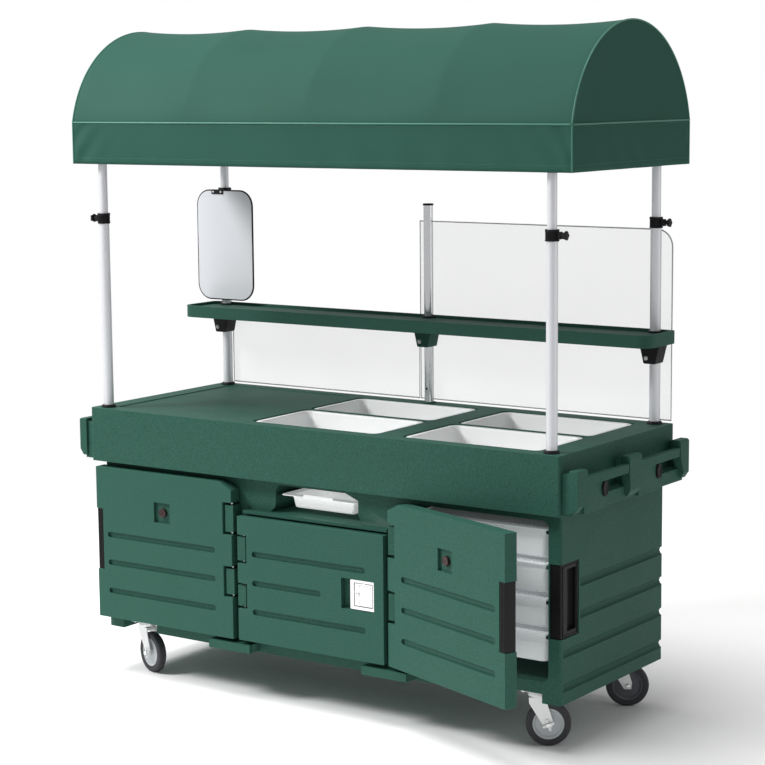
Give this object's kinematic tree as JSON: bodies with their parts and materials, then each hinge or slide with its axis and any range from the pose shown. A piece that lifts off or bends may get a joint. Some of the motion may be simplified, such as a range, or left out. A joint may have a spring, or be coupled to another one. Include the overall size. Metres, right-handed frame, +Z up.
{
  "type": "push vending cart",
  "caption": "Moulded food vending cart with an arched canopy on telescoping posts, food wells, rear shelf, clear shields and hinged cabinet doors, on swivel casters.",
  "frame": {"origin": "on the floor, under the middle of the cart's box with its right door standing open as modelled", "axes": "+X along the cart towards its right end, +Y from the door side towards the shelf side, +Z up"},
  "size_m": [2.14, 1.0161, 2.39],
  "materials": {
    "green_shell": "moulded polyethylene, faint speckle",
    "green_door": "moulded polyethylene, faint speckle",
    "black_plastic": "satin",
    "white_pan": "satin",
    "food_box": "milky",
    "satin_aluminium": "satin",
    "polished_steel": "polished",
    "zinc_plate": "zinc plated",
    "clear_sheet": "clear acrylic",
    "board_white": "gloss",
    "canopy_vinyl": "woven vinyl-coated cloth",
    "tyre_grey": "hard rubber",
    "lock_brown": "satin"
  },
  "bodies": {
    "cart": {"deck": "green_shell", "cabinet": "green_shell", "corner_pocket_left": "black_plastic", "corner_pocket_right": "black_plastic", "hinge_pin_left": "polished_steel", "hinge_pin_middle": "polished_steel", "hinge_pin_right": "polished_steel", "food_box_1": "food_box", "food_box_2": "food_box", "food_box_3": "food_box", "food_box_4": "food_box", "lower_post_front_left": "satin_aluminium", "lower_post_front_right": "satin_aluminium", "lower_post_rear_left": "satin_aluminium", "lower_post_rear_right": "satin_aluminium", "clamp_collar_front_left": "black_plastic", "clamp_collar_front_right": "black_plastic", "clamp_collar_rear_left": "black_plastic", "clamp_collar_rear_right": "black_plastic", "centre_post": "polished_steel", "shelf": "green_shell", "shelf_bracket_left": "black_plastic", "shelf_bracket_centre": "green_shell", "shelf_bracket_right": "black_plastic", "shield_left": "clear_sheet", "shield_right": "clear_sheet"},
    "door_left": {"door_left": "green_door", "door_grip_left": "black_plastic"},
    "door_middle": {"door_middle": "green_door"},
    "door_right": {"door_right": "green_door", "door_grip_right": "black_plastic"},
    "lock_left": {"lock_barrel_left": "lock_brown"},
    "lock_right": {"lock_barrel_right": "lock_brown"},
    "latch": {"latch_paddle": "zinc_plate"},
    "tray": {"utility_tray": "white_pan"},
    "well_pan_front_left": {"well_pan_front_left": "white_pan"},
    "well_pan_rear_left": {"well_pan_rear_left": "white_pan"},
    "well_pan_front_right": {"well_pan_front_right": "white_pan"},
    "well_pan_rear_right": {"well_pan_rear_right": "white_pan"},
    "canopy": {"canopy_cover": "canopy_vinyl", "canopy_frame": "satin_aluminium", "upper_post_front_left": "satin_aluminium", "upper_post_front_right": "satin_aluminium", "upper_post_rear_left": "satin_aluminium", "upper_post_rear_right": "satin_aluminium"},
    "clamp_knob_front_left": {"clamp_knob_front_left": "black_plastic"},
    "clamp_knob_front_right": {"clamp_knob_front_right": "black_plastic"},
    "clamp_knob_rear_left": {"clamp_knob_rear_left": "black_plastic"},
    "clamp_knob_rear_right": {"clamp_knob_rear_right": "black_plastic"},
    "message_board": {"message_board": "board_white"},
    "caster_front_left": {"caster_fork_front_left": "zinc_plate"},
    "wheel_front_left": {"caster_wheel_front_left": "tyre_grey"},
    "brake_front_left": {"brake_pedal_front_left": "zinc_plate"},
    "caster_front_right": {"caster_fork_front_right": "zinc_plate"},
    "wheel_front_right": {"caster_wheel_front_right": "tyre_grey"},
    "brake_front_right": {"brake_pedal_front_right": "zinc_plate"},
    "caster_rear_left": {"caster_fork_rear_left": "zinc_plate"},
    "wheel_rear_left": {"caster_wheel_rear_left": "tyre_grey"},
    "caster_rear_right": {"caster_fork_rear_right": "zinc_plate"},
    "wheel_rear_right": {"caster_wheel_rear_right": "tyre_grey"}
  },
  "joints": [
    {"name": "door_left_hinge", "type": "hinge", "parent": "cart", "child": "door_left", "pos_m": [-0.354, -0.268, 0.5], "axis": [0, 0, 1], "range_deg": [0, 90]},
    {"name": "door_middle_hinge", "type": "hinge", "parent": "cart", "child": "door_middle", "pos_m": [-0.301, -0.268, 0.45], "axis": [0, 0, -1], "range_deg": [0, 88]},
    {"name": "door_right_hinge", "type": "hinge", "parent": "cart", "child": "door_right", "pos_m": [0.354, -0.268, 0.5], "axis": [0, 0, -1], "range_deg": [-20.2, 69.8]},
    {"name": "lock_left_turn", "type": "hinge", "parent": "door_left", "child": "lock_left", "pos_m": [-0.665, -0.286, 0.643], "axis": [0, 1, 0], "range_deg": [0, 90]},
    {"name": "lock_right_turn", "type": "hinge", "parent": "door_right", "child": "lock_right", "pos_m": [0.6397, -0.3923, 0.643], "axis": [0.3453, 0.9385, 0], "range_deg": [0, 90]},
    {"name": "latch_press", "type": "hinge", "parent": "door_middle", "child": "latch", "pos_m": [0.2, -0.2835, 0.453], "axis": [0, 0, 1], "range_deg": [0, 7], "stiffness_Nm_per_rad": 0.05, "springref_deg": -11.46},
    {"name": "tray_slide", "type": "slide", "parent": "cart", "child": "tray", "axis": [0, -1, 0], "range_m": [0, 0.19]},
    {"name": "well_pan_front_left_lift", "type": "slide", "parent": "cart", "child": "well_pan_front_left", "axis": [0, 0, 1], "range_m": [0, 0.15]},
    {"name": "well_pan_rear_left_lift", "type": "slide", "parent": "cart", "child": "well_pan_rear_left", "axis": [0, 0, 1], "range_m": [0, 0.15]},
    {"name": "well_pan_front_right_lift", "type": "slide", "parent": "cart", "child": "well_pan_front_right", "axis": [0, 0, 1], "range_m": [0, 0.15]},
    {"name": "well_pan_rear_right_lift", "type": "slide", "parent": "cart", "child": "well_pan_rear_right", "axis": [0, 0, 1], "range_m": [0, 0.15]},
    {"name": "canopy_slide", "type": "slide", "parent": "cart", "child": "canopy", "axis": [0, 0, 1], "range_m": [-0.11, 0.25]},
    {"name": "clamp_knob_turn_front_left", "type": "hinge", "parent": "cart", "child": "clamp_knob_front_left", "pos_m": [-1.002, -0.245, 1.709], "axis": [-1, 0, 0], "continuous": true},
    {"name": "clamp_knob_turn_front_right", "type": "hinge", "parent": "cart", "child": "clamp_knob_front_right", "pos_m": [1.002, -0.245, 1.709], "axis": [1, 0, 0], "continuous": true},
    {"name": "clamp_knob_turn_rear_left", "type": "hinge", "parent": "cart", "child": "clamp_knob_rear_left", "pos_m": [-1.002, 0.461, 1.709], "axis": [-1, 0, 0], "continuous": true},
    {"name": "clamp_knob_turn_rear_right", "type": "hinge", "parent": "cart", "child": "clamp_knob_rear_right", "pos_m": [1.002, 0.461, 1.709], "axis": [1, 0, 0], "continuous": true},
    {"name": "board_swivel", "type": "hinge", "parent": "cart", "child": "message_board", "pos_m": [-0.952, 0.461, 1.76], "axis": [0, 0, 1], "range_deg": [0, 100]},
    {"name": "caster_swivel_front_left", "type": "hinge", "parent": "cart", "child": "caster_front_left", "pos_m": [-0.855, -0.167, 0.165], "axis": [0, 0, 1], "continuous": true},
    {"name": "wheel_spin_front_left", "type": "hinge", "parent": "caster_front_left", "child": "wheel_front_left", "pos_m": [-0.8222, -0.1783, 0.076], "axis": [0.3256, 0.9455, 0], "continuous": true},
    {"name": "brake_press_front_left", "type": "hinge", "parent": "caster_front_left", "child": "brake_front_left", "pos_m": [-0.8319, -0.2065, 0.076], "axis": [0.3256, 0.9455, 0], "range_deg": [0, 20]},
    {"name": "caster_swivel_front_right", "type": "hinge", "parent": "cart", "child": "caster_front_right", "pos_m": [0.855, -0.167, 0.165], "axis": [0, 0, 1], "continuous": true},
    {"name": "wheel_spin_front_right", "type": "hinge", "parent": "caster_front_right", "child": "wheel_front_right", "pos_m": [0.8844, -0.1486, 0.076], "axis": [-0.5299, 0.848, 0], "continuous": true},
    {"name": "brake_press_front_right", "type": "hinge", "parent": "caster_front_right", "child": "brake_front_right", "pos_m": [0.9002, -0.1739, 0.076], "axis": [-0.5299, 0.848, 0], "range_deg": [0, 20]},
    {"name": "caster_swivel_rear_left", "type": "hinge", "parent": "cart", "child": "caster_rear_left", "pos_m": [-0.855, 0.383, 0.165], "axis": [0, 0, 1], "continuous": true},
    {"name": "wheel_spin_rear_left", "type": "hinge", "parent": "caster_rear_left", "child": "wheel_rear_left", "pos_m": [-0.8256, 0.4014, 0.076], "axis": [-0.5299, 0.848, 0], "continuous": true},
    {"name": "caster_swivel_rear_right", "type": "hinge", "parent": "cart", "child": "caster_rear_right", "pos_m": [0.855, 0.383, 0.165], "axis": [0, 0, 1], "continuous": true},
    {"name": "wheel_spin_rear_right", "type": "hinge", "parent": "caster_rear_right", "child": "wheel_rear_right", "pos_m": [0.8844, 0.4014, 0.076], "axis": [-0.5299, 0.848, 0], "continuous": true}
  ]
}
